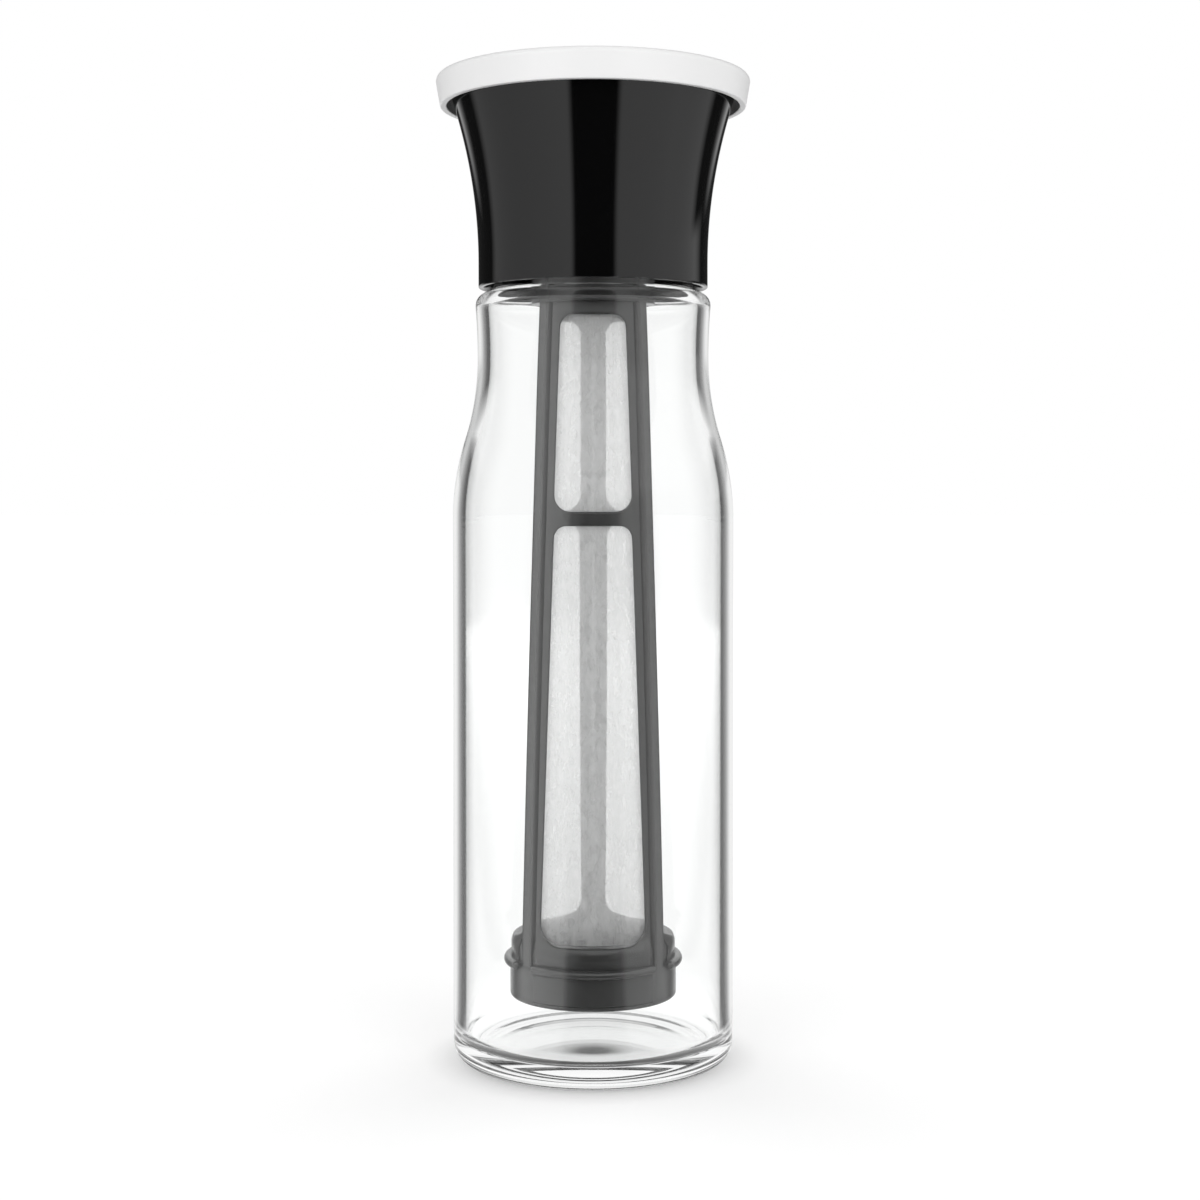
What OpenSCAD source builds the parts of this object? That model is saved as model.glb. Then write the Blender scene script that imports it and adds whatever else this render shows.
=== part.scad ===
// Glass carafe with a hanging infuser, a flared collar and a lift-off cap.
// The axis is Z and the foot stands on z = 0. The front window of the infuser faces -Y.
// Every piece is drawn closed and seated, as the carafe stands on a table.

/* [Glass] */
// Outer radius of the glass body
glass_r = 38.65; // [36:0.05:42]
// Outer radius of the waist under the shoulder
waist_r = 31.75; // [30:0.05:34]
// How far the shoulder stands out beyond the waist
shoulder_out = 0.55; // [0.2:0.05:2]
// Radius of the rounded shoulder edge
shoulder_round = 3.6; // [2.5:0.1:4]
// Radius of the fillet between shoulder and neck
neck_fillet = 1.2; // [0.6:0.1:1.2]
// Wall of the glass body
glass_wall = 3.4; // [2.5:0.1:4]
// Wall of the glass neck
neck_wall = 2.3; // [1.8:0.1:2.6]
// Height of the straight body
body_h = 148.5; // [120:0.5:170]
// Height over which the body draws in to the waist
draw_h = 45; // [35:0.5:55]
// Height from the waist up to the shoulder edge
shoulder_h = 14; // [10:0.5:20]
// Height of the neck above the shoulder
neck_h = 22.9; // [20:0.1:26]
// Radius of the rounded foot edge
foot_round = 5.6; // [4:0.1:7]
// Height of the inner floor beside the wall
floor_z = 6.7; // [5:0.1:8]
// Radius of the corner between the inner floor and the wall
floor_round = 5; // [3:0.1:7]
// Rise of the hollow under the foot
push_up = 2.2; // [1:0.1:3]
// Rise of the inner floor towards its middle
floor_rise = 1.6; // [0.5:0.1:2]

/* [Infuser cage] */
// Clearance between the glass floor and the infuser cup
cup_lift = 9.7; // [4:0.1:16]
// Clearance between the bead of the cup and the bore of the neck
bead_gap = 0.5; // [0.4:0.05:1]
// How far the bead stands out from the cup wall
bead_out = 1.75; // [1:0.05:2.4]
// How far the feet of the posts lie inside the cup wall
post_in = 0.1; // [0.05:0.01:0.3]
// Outer radius of the posts at the top of the cage
cage_top_r = 16.7; // [15:0.05:18]
// How far the posts bow outwards at half their height
cage_bow = 0.38; // [0:0.02:1]
// Height of the round tube between the cage and the lip of the glass
tube_h = 25.5; // [22:0.5:30]
// Angle from the front to each front post
post_spread = 52; // [48:1:60]
// Radius of the bulged faces at the foot of the cage
face_arc = 28.2; // [25:0.2:34]
// Width of a post
post_w = 4.4; // [3:0.1:5]
// Wall of the faces between the posts
face_wall = 1.7; // [1.4:0.1:2]
// How far the faces lie behind the posts
face_step = 0.35; // [0.2:0.05:0.6]
// Width of the groove beside a post
groove_w = 0.6; // [0.4:0.1:1]
// Depth of the groove beside a post
groove_d = 0.6; // [0.3:0.1:0.9]
// Radius of the cross section of the bead round the cup
bead_r = 1.3; // [0.9:0.1:1.4]
// Height of the bead above the underside of the cup
bead_h = 10; // [9:0.5:12]
// How far the wall steps in above the bead
cup_step = 0.3; // [0.2:0.05:0.5]
// Height from the bead to where the wall rounds over into the faces
shelf_h = 4.6; // [4:0.1:6]
// Wall of the cup
cup_wall = 2; // [1.4:0.1:2.2]
// Wall of the round tube above the cage
tube_wall = 1.6; // [1.2:0.1:2]

/* [Infuser windows] */
// Height from the rounded shoulder of the cup to the sill of the lower windows
sill_h = 2.2; // [2:0.1:5]
// Distance from the top of the windows down to the middle of the crossbars
bar_drop = 55.9; // [40:0.1:80]
// Height of a crossbar
bar_h = 3.8; // [3:0.1:6]
// Height of the rail between the windows and the round tube
head_h = 4.4; // [3.5:0.1:8]
// Half of the front window's width at the sill
window_foot_w = 13.5; // [12:0.1:14]
// Half of the front window's width at its upper edge
window_head_w = 8.5; // [7:0.1:9]
// How much wider each half of a side window is
side_extra_w = 3.1; // [2:0.1:3.2]
// Corner radius of the windows at the sill
sill_round = 5; // [3:0.1:6]
// Corner radius of the other window corners
window_round = 3.2; // [2:0.1:4]
// Thickness of the mesh screens
mesh_t = 0.4; // [0.3:0.05:0.6]

/* [Hanger and seals] */
// Height of the hanger's flange
flange_h = 2.2; // [1.6:0.1:3]
// How far the hanger reaches down into the neck
hanger_drop = 8; // [6:0.5:10]
// Wall of the hanger's skirt
skirt_wall = 1.2; // [1:0.1:1.4]
// Wall of the hanger's hub
hub_wall = 1.8; // [1.2:0.1:2]
// Width of each arm between hub and skirt
arm_w = 2.4; // [1.6:0.1:4]
// Thickness of the gasket on the hanger
gasket_t = 1; // [0.6:0.1:1.6]
// Thickness of the silicone sleeve round the neck, without its ribs
seal_t = 0.8; // [0.6:0.1:1]
// How far the sleeve's ribs stand inwards
seal_rib = 0.55; // [0.4:0.05:0.6]
// How far the sleeve reaches down below the lip of the glass
seal_drop = 14; // [12:0.5:17]
// Number of ribs in the sleeve
seal_ribs = 3; // [2:1:4]

/* [Collar] */
// Gap between the shoulder of the glass and the collar's lower edge
collar_lift = 1.3; // [1:0.1:3]
// Height of the collar
collar_h = 53.6; // [48:0.1:60]
// Height of the collar's straight foot
flare_h = 6.6; // [4:0.1:10]
// Radius of the collar's flare
flare_arc = 141; // [120:1:200]
// Wall of the collar
collar_wall = 1.5; // [1.2:0.1:1.8]
// Thickness of the collar's rim
rim_t = 1.6; // [1.2:0.1:2]
// Width of the collar's rim from its edge to the mouth
rim_w = 3.9; // [3.6:0.1:5]
// Radius of the throat that the stopper closes
throat_r = 22; // [20:0.05:23]
// Height of the throat's straight wall
throat_h = 9.8; // [8:0.1:12]
// Wall of the funnel
core_wall = 1.6; // [1.2:0.1:1.8]
// Wall of the inner sleeve that holds the silicone
sleeve_wall = 1; // [0.8:0.1:1.5]

/* [Cap] */
// Thickness of the cap's top
cap_top_t = 2.2; // [1.8:0.1:4]
// How far the cap's skirt hangs down over the rim
cap_drop = 4.2; // [3:0.1:8]
// Clearance between the cap's lower edge and the rim of the collar
cap_gap = 1; // [0.6:0.05:2]
// How much wider the cap is at its top edge than at its lower edge
cap_lean = 1.4; // [0.8:0.1:2]
// Radius of the cap's rounded top edge
cap_round = 1.5; // [0.8:0.1:2]
// Wall of the cap's skirt
cap_wall = 1.8; // [1.4:0.1:2]
// Thickness of the stopper's flange under the cap
plug_flange_t = 1.8; // [1.2:0.1:2.4]
// How far the stopper's flange stays back from the edge of the rim
plug_flange_in = 0.9; // [0.6:0.1:2]
// Clearance between the stopper and the infuser below it
plug_lift = 4.8; // [3:0.1:6]
// Wall of the stopper
plug_wall = 1.8; // [1.4:0.1:2]
// Gap between the stopper's wall and the throat
plug_gap = 0.8; // [0.6:0.1:1.2]
// Height of the seal round the stopper
plug_seal_h = 3.4; // [2:0.1:4]
// Depth of the stopper's seal groove
plug_groove = 0.7; // [0.4:0.1:0.9]

/* [Fits] */
// Radial clearance of a seal against the wall it slides on
seal_gap = 0.05; // [0.02:0.01:0.1]
// Radial clearance of the hanger in the neck
hanger_gap = 0.3; // [0.2:0.05:0.5]
// Radial clearance of pieces that are pressed together
press_gap = 0.05; // [0.02:0.01:0.1]

/* [Hidden] */
$fn = 96;

// Colours as the photograph shows them
glass_tint = [0.86, 0.93, 0.93, 0.35];
cage_grey = [0.36, 0.36, 0.35];
mesh_white = [0.85, 0.86, 0.86];
gloss_black = [0.04, 0.04, 0.04];
seal_grey = [0.7, 0.72, 0.72];
cap_white = [0.93, 0.93, 0.92];

// Glass, from the waist outwards and from the table up
shoulder_r = waist_r + shoulder_out;
neck_r = shoulder_r - shoulder_round - neck_fillet;
bore_r = neck_r - neck_wall;
waist_z = body_h + draw_h;
shoulder_z = waist_z + shoulder_h;
neck_foot_z = shoulder_z + shoulder_round;
lip_z = neck_foot_z + neck_h;
draw_w = glass_r - waist_r;
draw_arc = (draw_h * draw_h + draw_w * draw_w) / (4 * draw_w);
flare_out = shoulder_h * shoulder_h / (2 * shoulder_out);
glass_step = 3;

// Infuser, from the bore of the neck inwards and from the glass floor up
bead_reach_r = bore_r - bead_gap;
cup_r = bead_reach_r - bead_out;
cage_foot_r = cup_r - post_in;
cup_z = floor_z + floor_rise + cup_lift;
bead_z = cup_z + bead_h;
shelf_z = bead_z + shelf_h;
sill_z = shelf_z + sill_h;
cage_top_z = lip_z - tube_h;
window_top_z = cage_top_z - head_h;
bar_z = window_top_z - bar_drop;
CORNERS = [-90 + post_spread, 90, 270 - post_spread, 270 + post_spread];
bulge = face_arc / cage_foot_r;
cage_z = bead_z - 2;
base_t = 1.2;
base_inner_t = 1.8;
base_spigot = 5;
tube_r = cage_top_r + 0.3;
tube_bore_r = tube_r - tube_wall;
ledge_z = shelf_z - 2.2;
bury = 0.6;
mesh_gap = 0.08;
mesh_edge = 0.4;
mesh_lap = 2;
stop_h = 2.4;
stop_step = 0.3;
loft_steps = 8;
face_steps = 14;
post_steps = 4;

// Hanger, from the lip of the glass upwards
flange_top_z = lip_z + flange_h;
hanger_r = bore_r - hanger_gap;
hub_bore_r = tube_r + press_gap;
hub_r = hub_bore_r + hub_wall;
hanger_foot_z = lip_z - hanger_drop;
flange_r = neck_r - 0.5;
rib_h = 1.8;
rib_tip = 0.4;

// Collar, from the neck outwards and from the gasket up
deck_z = flange_top_z + gasket_t;
seal_foot_z = lip_z - seal_drop;
sleeve_r = neck_r + seal_gap + seal_rib + seal_t;
core_r = sleeve_r + press_gap + sleeve_wall;
collar_r = core_r + press_gap + collar_wall;
collar_foot_z = neck_foot_z + collar_lift;
flare_z = collar_foot_z + flare_h;
rim_z = collar_foot_z + collar_h;
rim_round = 0.7;
rim_r = collar_side(rim_z - rim_round);
mouth_r = rim_r - rim_w;
throat_top_z = deck_z + throat_h;
funnel_top_z = rim_z - rim_t;
funnel_k = pow(funnel_top_z - throat_top_z, 2) / (2 * (mouth_r - throat_r));
funnel_steps = 10;

// Cap, from the rim of the collar outwards and upwards
cap_foot_r = rim_r + cap_gap + cap_wall;
cap_r = cap_foot_r + cap_lean;
cap_foot_z = rim_z - cap_drop;
cap_ceiling_z = rim_z + plug_flange_t;
cap_top_z = cap_ceiling_z + cap_top_t;
plug_flange_r = rim_r - plug_flange_in;
plug_r = throat_r - plug_gap;
plug_foot_z = flange_top_z + plug_lift;
groove_z = plug_foot_z + 0.9;

// A polar point in the plane
function polar(r, a) = [r * cos(a), r * sin(a)];

// Points along an arc from angle a to angle b
function arc(centre, r, a, b, n) = [for (i = [0:n]) centre + polar(r, a + (b - a) * i / n)];

// Outer radius of the glass side at a height
function side_r(z) =
    z <= body_h ? glass_r :
    z <= body_h + draw_h / 2 ? glass_r - draw_arc + sqrt(pow(draw_arc, 2) - pow(z - body_h, 2)) :
    z <= waist_z ? waist_r + draw_arc - sqrt(pow(draw_arc, 2) - pow(waist_z - z, 2)) :
    waist_r + pow(z - waist_z, 2) / (2 * flare_out);

// A curve that starts and ends level
function smooth(t) = t * t * (3 - 2 * t);

// Outer radius of the collar at a height
function collar_side(z) = collar_r + pow(max(0, z - flare_z), 2) / (2 * flare_arc);

// Radius of the infuser's posts at a height
function post_r(z) =
    let (t = (z - cage_z) / (cage_top_z - cage_z))
    cage_foot_r + (cage_top_r - cage_foot_r) * t + 4 * cage_bow * t * (1 - t);

// Radius of a bulged face, as a share of the post radius, at angle a from the face's middle
function bulge_share(half, a) =
    let (q = sqrt(pow(bulge, 2) - pow(sin(half), 2)) - cos(half))
    sqrt(pow(bulge, 2) - pow(q * sin(a), 2)) - q * cos(a);

function face_mid(i) = (CORNERS[i] + CORNERS[i + 1]) / 2;
function face_half(i) = (CORNERS[i + 1] - CORNERS[i]) / 2;
function face_r(i, r, a) = (r - face_step) * bulge_share(face_half(i), a);

// Outline of one post and the face after it, with the grooves between them
function cage_side(i, r) =
    let (post = asin(post_w / 2 / r))
    let (groove = asin(groove_w / r))
    let (mid = face_mid(i))
    let (reach = face_half(i) - post)
    let (edge = reach - groove)
    concat(
        [for (k = [0:post_steps]) polar(r, CORNERS[i] + post * (2 * k / post_steps - 1))],
        [polar(face_r(i, r, reach) - groove_d, mid - reach)],
        [polar(face_r(i, r, edge) - groove_d, mid - edge)],
        [for (k = [0:face_steps])
            let (a = edge * (2 * k / face_steps - 1))
            polar(face_r(i, r, a), mid + a)],
        [polar(face_r(i, r, edge) - groove_d, mid + edge)],
        [polar(face_r(i, r, reach) - groove_d, mid + reach)]
    );

// Outline of the whole cage and of its hollow, at post radius r
function cage_ring(r) = [for (i = [0:2]) each cage_side(i, r)];
function hollow_ring(r) = [for (i = [0:2], k = [0:face_steps - 1])
    let (a = face_half(i) * (2 * k / face_steps - 1))
    polar(face_r(i, r, a) - face_wall, face_mid(i) + a)];

// Outline of the mesh screen behind face i
function mesh_ring(i, r) =
    let (edge = face_half(i) - asin((post_w / 2 + mesh_edge) / r))
    let (back = face_wall + mesh_gap)
    concat(
        [for (k = [0:face_steps])
            let (a = edge * (2 * k / face_steps - 1))
            polar(face_r(i, r, a) - back, face_mid(i) + a)],
        [for (k = [face_steps:-1:0])
            let (a = edge * (2 * k / face_steps - 1))
            polar(face_r(i, r, a) - back - mesh_t, face_mid(i) + a)]
    );

// A solid through rings of equal length, each at its own height
module loft(rings, heights) {
    n = len(rings[0]);
    last = len(rings) - 1;
    points = [for (j = [0:last], p = rings[j]) [p[0], p[1], heights[j]]];
    sides = [for (j = [0:last - 1], i = [0:n - 1])
        let (a = j * n + i)
        let (b = j * n + (i + 1) % n)
        each [[a, a + n, b + n], [a, b + n, b]]];
    ends = [[for (i = [0:n - 1]) i], [for (i = [n - 1:-1:0]) last * n + i]];
    polyhedron(points, concat(sides, ends), convexity = 8);
}

function levels(low, high) = [for (j = [0:loft_steps]) low + (high - low) * j / loft_steps];

// One ring of revolution between two radii
module ring(inner, outer, low, high) {
    translate([0, 0, low]) difference() {
        cylinder(r = outer, h = high - low);
        translate([0, 0, -1]) cylinder(r = inner, h = high - low + 2);
    }
}

module glass_body() {
    foot_r = glass_r - foot_round;
    dome_r = foot_r - 3;
    dome_arc = (dome_r * dome_r + push_up * push_up) / (2 * push_up);
    floor_r = glass_r - glass_wall - floor_round;
    rise_arc = (floor_r * floor_r + floor_rise * floor_rise) / (2 * floor_rise);
    neck_in = 9;
    side_n = round((shoulder_z - body_h) / glass_step);
    side = [for (k = [0:side_n]) body_h + (shoulder_z - body_h) * k / side_n];
    inner_top = neck_foot_z - neck_in;
    inner_n = round((inner_top - body_h) / glass_step);
    inner = [for (k = [0:inner_n]) inner_top - (inner_top - body_h) * k / inner_n];
    inner_r = side_r(inner_top) - glass_wall;
    lip_round = neck_wall / 2;
    color(glass_tint) rotate_extrude() polygon(concat(
        [for (k = [0:6]) let (r = dome_r * k / 6)
            [r, push_up - dome_arc + sqrt(dome_arc * dome_arc - r * r)]],
        arc([foot_r, foot_round], foot_round, -90, 0, 10),
        [for (z = side) [side_r(z), z]],
        arc([shoulder_r - shoulder_round, shoulder_z], shoulder_round, 8, 90, 9),
        arc([neck_r + neck_fillet, neck_foot_z + neck_fillet], neck_fillet, -90, -180, 5),
        arc([neck_r - lip_round, lip_z - lip_round], lip_round, 0, 180, 10),
        [for (k = [0:8]) let (t = k / 8)
            [bore_r + (inner_r - bore_r) * smooth(t), neck_foot_z + 1 - (neck_in + 1) * t]],
        [for (k = [1:inner_n]) [side_r(inner[k]) - glass_wall, inner[k]]],
        arc([floor_r, floor_z + floor_round], floor_round, 0, -90, 10),
        [for (k = [5:-1:0]) let (r = floor_r * k / 6)
            [r, floor_z + floor_rise - rise_arc + sqrt(rise_arc * rise_arc - r * r)]]
    ));
}

// A window outline: a trapezium with round corners, as wide at a height as the face tapers
module window_outline(low, high, low_round, high_round, extra) {
    taper = (window_foot_w - window_head_w) / (window_top_z - sill_z);
    low_w = window_foot_w + extra - taper * (low - sill_z);
    high_w = window_foot_w + extra - taper * (high - sill_z);
    hull() for (side = [-1, 1]) {
        translate([side * (low_w - low_round), low + low_round]) circle(low_round, $fn = 32);
        translate([side * (high_w - high_round), high - high_round]) circle(high_round, $fn = 32);
    }
}

module windows() {
    for (i = [0:2]) {
        extra = i == 2 ? 0 : side_extra_w;
        rotate([0, 0, face_mid(i)]) rotate([90, 0, 90]) linear_extrude(cage_foot_r + 10) {
            window_outline(sill_z, bar_z - bar_h / 2, sill_round, window_round, extra);
            window_outline(bar_z + bar_h / 2, window_top_z, window_round, window_round, extra);
        }
    }
}

// Cup wall with its rounded shoulder, drawn solid and hollowed out afterwards
module cup_blank() {
    upper_r = cup_r - cup_step;
    slope_r = 4.5;
    slope_h = 4.2;
    rotate_extrude() polygon(concat(
        [[0, cup_z + base_t], [cup_r, cup_z + base_t], [cup_r, bead_z], [upper_r, bead_z]],
        [for (k = [0:6]) [upper_r - slope_r * (1 - cos(15 * k)), shelf_z + slope_h * sin(15 * k)]],
        [[0, shelf_z + slope_h]]
    ));
}

// Round tube above the cage, with a floor that the hollow is cut through and a stop under the hub
module tube_blank() {
    stop_r = hub_r - stop_step;
    rotate_extrude() polygon([
        [0, cage_top_z - bury],
        [tube_r, cage_top_z - bury],
        [tube_r, hanger_foot_z - stop_h],
        [stop_r, hanger_foot_z - stop_h],
        [stop_r, hanger_foot_z],
        [tube_r, hanger_foot_z],
        [tube_r, flange_top_z],
        [tube_bore_r, flange_top_z],
        [tube_bore_r, cage_top_z + bury],
        [0, cage_top_z + bury]
    ]);
}

// The bead runs between the posts and stops beside each of them
module bead() {
    stop_a = asin((post_w / 2 + groove_w) / cage_foot_r);
    for (i = [0:2]) {
        span = 2 * (face_half(i) - stop_a);
        rotate([0, 0, CORNERS[i] + stop_a]) rotate_extrude(angle = span)
            translate([bead_reach_r - bead_r, bead_z]) circle(bead_r);
    }
}

module infuser_frame() {
    zs = levels(cage_z, cage_top_z);
    hs = levels(ledge_z - bury, cage_top_z + 2 * bury);
    color(cage_grey) difference() {
        union() {
            loft([for (z = zs) cage_ring(post_r(z))], zs);
            cup_blank();
            bead();
            tube_blank();
        }
        loft([for (z = hs) hollow_ring(post_r(z))], hs);
        translate([0, 0, cup_z]) cylinder(r = cup_r - cup_wall, h = ledge_z - cup_z);
        windows();
    }
}

module infuser_base() {
    spigot_r = cup_r - cup_wall - press_gap;
    edge = 0.8;
    color(cage_grey) rotate_extrude() polygon(concat(
        [[0, cup_z]],
        arc([cup_r - edge, cup_z + edge], edge, -90, 0, 5),
        [[cup_r, cup_z + base_t], [spigot_r, cup_z + base_t]],
        [[spigot_r, cup_z + base_spigot], [spigot_r - cup_wall, cup_z + base_spigot]],
        [[spigot_r - cup_wall, cup_z + base_inner_t], [0, cup_z + base_inner_t]]
    ));
}

module mesh_screen(i) {
    zs = levels(ledge_z + mesh_edge, window_top_z + mesh_lap);
    color(mesh_white) loft([for (z = zs) mesh_ring(i, post_r(z))], zs);
}

module mesh_front() {
    mesh_screen(2);
}

module mesh_right() {
    mesh_screen(0);
}

module mesh_left() {
    mesh_screen(1);
}

module hanger_ring() {
    color(cage_grey) union() {
        ring(hanger_r - skirt_wall, hanger_r, hanger_foot_z, flange_top_z);
        ring(hanger_r - skirt_wall, flange_r, lip_z, flange_top_z);
        ring(hub_bore_r, hub_r, hanger_foot_z, flange_top_z);
        for (i = [0:2]) {
            rotate([0, 0, CORNERS[i]])
                translate([hub_r - bury, -arm_w / 2, hanger_foot_z])
                cube([hanger_r - skirt_wall - hub_r + 2 * bury, arm_w, hanger_drop]);
        }
    }
}

module neck_seal() {
    pitch = (deck_z - seal_foot_z) / (seal_ribs + 1);
    root = sleeve_r - seal_t + 0.1;
    tip = neck_r + seal_gap;
    color(seal_grey) union() {
        ring(sleeve_r - seal_t, sleeve_r, seal_foot_z, deck_z);
        for (k = [1:seal_ribs]) {
            z = min(seal_foot_z + pitch * k - pitch / 2, lip_z - 3);
            rotate_extrude() polygon([
                [root, z - rib_h / 2],
                [tip, z - rib_tip / 2],
                [tip, z + rib_tip / 2],
                [root, z + rib_h / 2]
            ]);
        }
    }
}

module rim_gasket() {
    color(seal_grey) ring(throat_r + 0.6, flange_r, flange_top_z, deck_z);
}

module collar_shell() {
    top = rim_z - rim_round;
    n = 16;
    zs = [for (k = [0:n]) flare_z + (top - flare_z) * k / n];
    under = rim_z - rim_t;
    back = [for (k = [0:n]) under + (flare_z - under) * k / n];
    bevel = 0.3;
    color(gloss_black) rotate_extrude() polygon(concat(
        [[collar_r - collar_wall, collar_foot_z], [collar_r - bevel, collar_foot_z]],
        [[collar_r, collar_foot_z + bevel]],
        [for (z = zs) [collar_side(z), z]],
        arc([collar_side(top) - rim_round, top], rim_round, 15, 90, 6),
        arc([mouth_r + rim_t / 2, rim_z - rim_t / 2], rim_t / 2, 90, 270, 8),
        [for (z = back) [collar_side(z) - collar_wall, z]]
    ));
}

module collar_core() {
    low_z = throat_top_z - core_wall;
    skin = press_gap + collar_wall;
    climb = funnel_top_z - throat_top_z;
    color(gloss_black) rotate_extrude() polygon(concat(
        [[throat_r, deck_z]],
        [for (k = [0:funnel_steps]) let (h = climb * k / funnel_steps)
            [throat_r + h * h / (2 * funnel_k), throat_top_z + h]],
        [[collar_side(funnel_top_z) - skin, funnel_top_z]],
        [[collar_side(funnel_top_z - core_wall) - skin, funnel_top_z - core_wall]],
        [for (k = [funnel_steps - 1:-1:0]) let (h = climb * k / funnel_steps)
            [throat_r + core_wall + h * h / (2 * funnel_k), low_z + h]],
        [[throat_r + core_wall, deck_z + core_wall], [core_r, deck_z + core_wall]],
        [[core_r, seal_foot_z], [sleeve_r + press_gap, seal_foot_z]],
        [[sleeve_r + press_gap, deck_z]]
    ));
}

module cap_cover() {
    lean = cap_lean / (cap_top_z - cap_round - cap_foot_z);
    function skin_r(z) = cap_foot_r + lean * (z - cap_foot_z);
    edge = 0.4;
    color(cap_white) rotate_extrude() polygon(concat(
        [[0, cap_ceiling_z], [skin_r(cap_ceiling_z) - cap_wall, cap_ceiling_z]],
        [[cap_foot_r - cap_wall, cap_foot_z]],
        [[cap_foot_r - edge, cap_foot_z], [skin_r(cap_foot_z + edge), cap_foot_z + edge]],
        arc([cap_r - cap_round, cap_top_z - cap_round], cap_round, 0, 90, 8),
        [[0, cap_top_z]]
    ));
}

module cap_plug() {
    color(cap_white) rotate_extrude() polygon([
        [0, plug_foot_z],
        [plug_r, plug_foot_z],
        [plug_r, groove_z],
        [plug_r - plug_groove, groove_z],
        [plug_r - plug_groove, groove_z + plug_seal_h],
        [plug_r, groove_z + plug_seal_h],
        [plug_r, rim_z],
        [plug_flange_r, rim_z],
        [plug_flange_r, cap_ceiling_z],
        [plug_r - plug_wall, cap_ceiling_z],
        [plug_r - plug_wall, plug_foot_z + plug_wall],
        [0, plug_foot_z + plug_wall]
    ]);
}

module plug_seal() {
    inner = plug_r - plug_groove + press_gap;
    reach = throat_r - seal_gap;
    lip = plug_seal_h / 4;
    color(seal_grey) rotate_extrude() polygon([
        [inner, groove_z],
        [plug_r, groove_z],
        [reach, groove_z + lip],
        [plug_r + 0.1, groove_z + 2 * lip],
        [reach, groove_z + 3 * lip],
        [plug_r, groove_z + plug_seal_h],
        [inner, groove_z + plug_seal_h]
    ]);
}

glass_body();
infuser_frame();
infuser_base();
mesh_front();
mesh_right();
mesh_left();
hanger_ring();
neck_seal();
rim_gasket();
collar_shell();
collar_core();
cap_cover();
cap_plug();
plug_seal();
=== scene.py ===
# %% [markdown]
# # A glass carafe with a hanging infuser
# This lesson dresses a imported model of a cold-drink carafe. The model brings the pieces that move
# and fit, and Blender adds what the eye looks for: clear blown glass with its thick walls, a grey
# moulded cage with fine grooves, woven white screens, a glossy black collar and a satin white cap.
# Everything is in metres, the axis of the carafe is Z, and the front looks towards -Y.

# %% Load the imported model
import math

import bmesh
import bpy
import numpy as np
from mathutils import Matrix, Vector


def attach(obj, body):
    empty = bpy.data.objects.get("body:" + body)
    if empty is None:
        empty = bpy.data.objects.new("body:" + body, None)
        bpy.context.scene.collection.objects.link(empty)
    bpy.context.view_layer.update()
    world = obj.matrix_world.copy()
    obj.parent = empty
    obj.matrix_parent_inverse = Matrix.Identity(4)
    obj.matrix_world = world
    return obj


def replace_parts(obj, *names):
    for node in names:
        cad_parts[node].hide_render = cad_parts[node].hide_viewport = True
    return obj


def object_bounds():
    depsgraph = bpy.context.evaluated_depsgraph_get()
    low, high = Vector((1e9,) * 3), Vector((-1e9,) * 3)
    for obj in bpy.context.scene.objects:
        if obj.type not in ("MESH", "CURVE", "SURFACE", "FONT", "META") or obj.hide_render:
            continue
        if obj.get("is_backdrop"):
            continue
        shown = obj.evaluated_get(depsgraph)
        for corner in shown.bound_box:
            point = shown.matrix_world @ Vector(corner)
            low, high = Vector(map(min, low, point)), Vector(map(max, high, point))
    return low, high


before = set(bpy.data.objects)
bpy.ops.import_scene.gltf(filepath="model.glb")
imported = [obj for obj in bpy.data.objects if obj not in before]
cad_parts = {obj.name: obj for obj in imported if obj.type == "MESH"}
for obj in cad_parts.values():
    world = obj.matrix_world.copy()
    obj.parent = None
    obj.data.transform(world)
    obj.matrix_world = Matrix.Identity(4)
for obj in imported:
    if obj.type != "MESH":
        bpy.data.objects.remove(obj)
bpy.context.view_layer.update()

# %% [markdown]
# ## The camera
# The photograph is a level studio shot from about half a metre, with the horizon well above the
# middle of the picture. A lens shift gives a small part of that. The rest is a slight downward
# tilt from the same place, so that other views don't inherit a large shift.

# %% Place the camera
SHIFT, FOCAL, SENSOR = 0.05, 61.48, 36.0
EYE = Vector((0.0019, -0.5658, 0.157))
HORIZON = 110 / 1200


def new_object(name, data):
    thing = bpy.data.objects.new(name, data)
    bpy.context.scene.collection.objects.link(thing)
    return thing


camera_data = bpy.data.cameras.new("camera")
camera_data.lens = FOCAL
camera_data.sensor_width = SENSOR
camera_data.shift_y = -SHIFT
camera_data.clip_start = 0.01
camera = new_object("camera", camera_data)
tilt = math.atan((HORIZON - SHIFT) * SENSOR / FOCAL)
camera.location = EYE
camera.rotation_euler = (math.radians(90) - tilt, 0, 0)
bpy.context.scene.camera = camera
print("camera tilt:", round(math.degrees(tilt), 2), "degrees")

# %% [markdown]
# ## A rule for round pieces
# The glass, the cup, the collar and the cap are all turned shapes: one outline, spun about the
# axis. A Geometry Nodes tree holds that rule once. It lays out a grid, places every row of the
# grid on the outline, and turns each column a little further round. The outline itself is a short
# list of heights and radii, so the piece is changed by changing the list.

# %% Add nodes and groups
def link(tree, out_socket, in_socket):
    tree.links.new(out_socket, in_socket)


def give(tree, node, inputs):
    """Each named input gets a plain value, or a link from another node's result."""
    for name, value in inputs.items():
        if isinstance(value, bpy.types.NodeSocket):
            link(tree, value, node.inputs[name])
        else:
            node.inputs[name].default_value = value


def add_node(tree, kind, inputs=None, **settings):
    node = tree.nodes.new(kind)
    for name, value in settings.items():
        setattr(node, name, value)
    give(tree, node, inputs or {})
    return node


def math_node(tree, operation, *values):
    return add_node(tree, "ShaderNodeMath", dict(enumerate(values)), operation=operation).outputs[0]


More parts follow.
